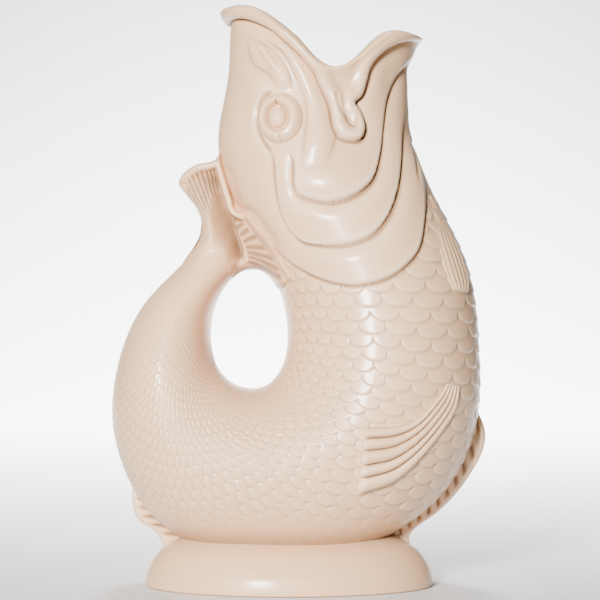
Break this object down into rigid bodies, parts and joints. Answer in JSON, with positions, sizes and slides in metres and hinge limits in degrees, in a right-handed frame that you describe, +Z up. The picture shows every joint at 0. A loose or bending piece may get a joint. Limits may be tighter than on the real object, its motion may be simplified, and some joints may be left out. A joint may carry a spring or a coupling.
{
  "type": "gurgle jug",
  "caption": "Glazed pottery jug shaped as a standing fish: open mouth pours, looped hollow tail is the handle and traps the air that gurgles.",
  "frame": {"origin": "middle of the jug's box, on the surface that the foot stands on", "axes": "+Z up, +X towards the throat and the pouring lip, +Y across the jug to the fish's left side"},
  "size_m": [0.1604, 0.1098, 0.2477],
  "materials": {
    "cream_glaze": "satin cream glaze",
    "foot_glaze": "satin cream glaze, wiped bare on the ring that it stands on"
  },
  "bodies": {
    "root": {"foot_plinth": "foot_glaze", "belly_shell": "cream_glaze", "head_shell": "cream_glaze", "tail_shell": "cream_glaze", "tail_fin": "cream_glaze", "front_keel_fin": "cream_glaze", "rear_keel_fin": "cream_glaze", "pectoral_fin_left": "cream_glaze", "pectoral_fin_right": "cream_glaze", "breast_fin_left": "cream_glaze", "breast_fin_right": "cream_glaze", "eye_left": "cream_glaze", "eye_right": "cream_glaze", "gill_cover_left": "cream_glaze", "gill_cover_right": "cream_glaze", "jaw_strap_left": "cream_glaze", "jaw_strap_right": "cream_glaze"}
  },
  "joints": []
}
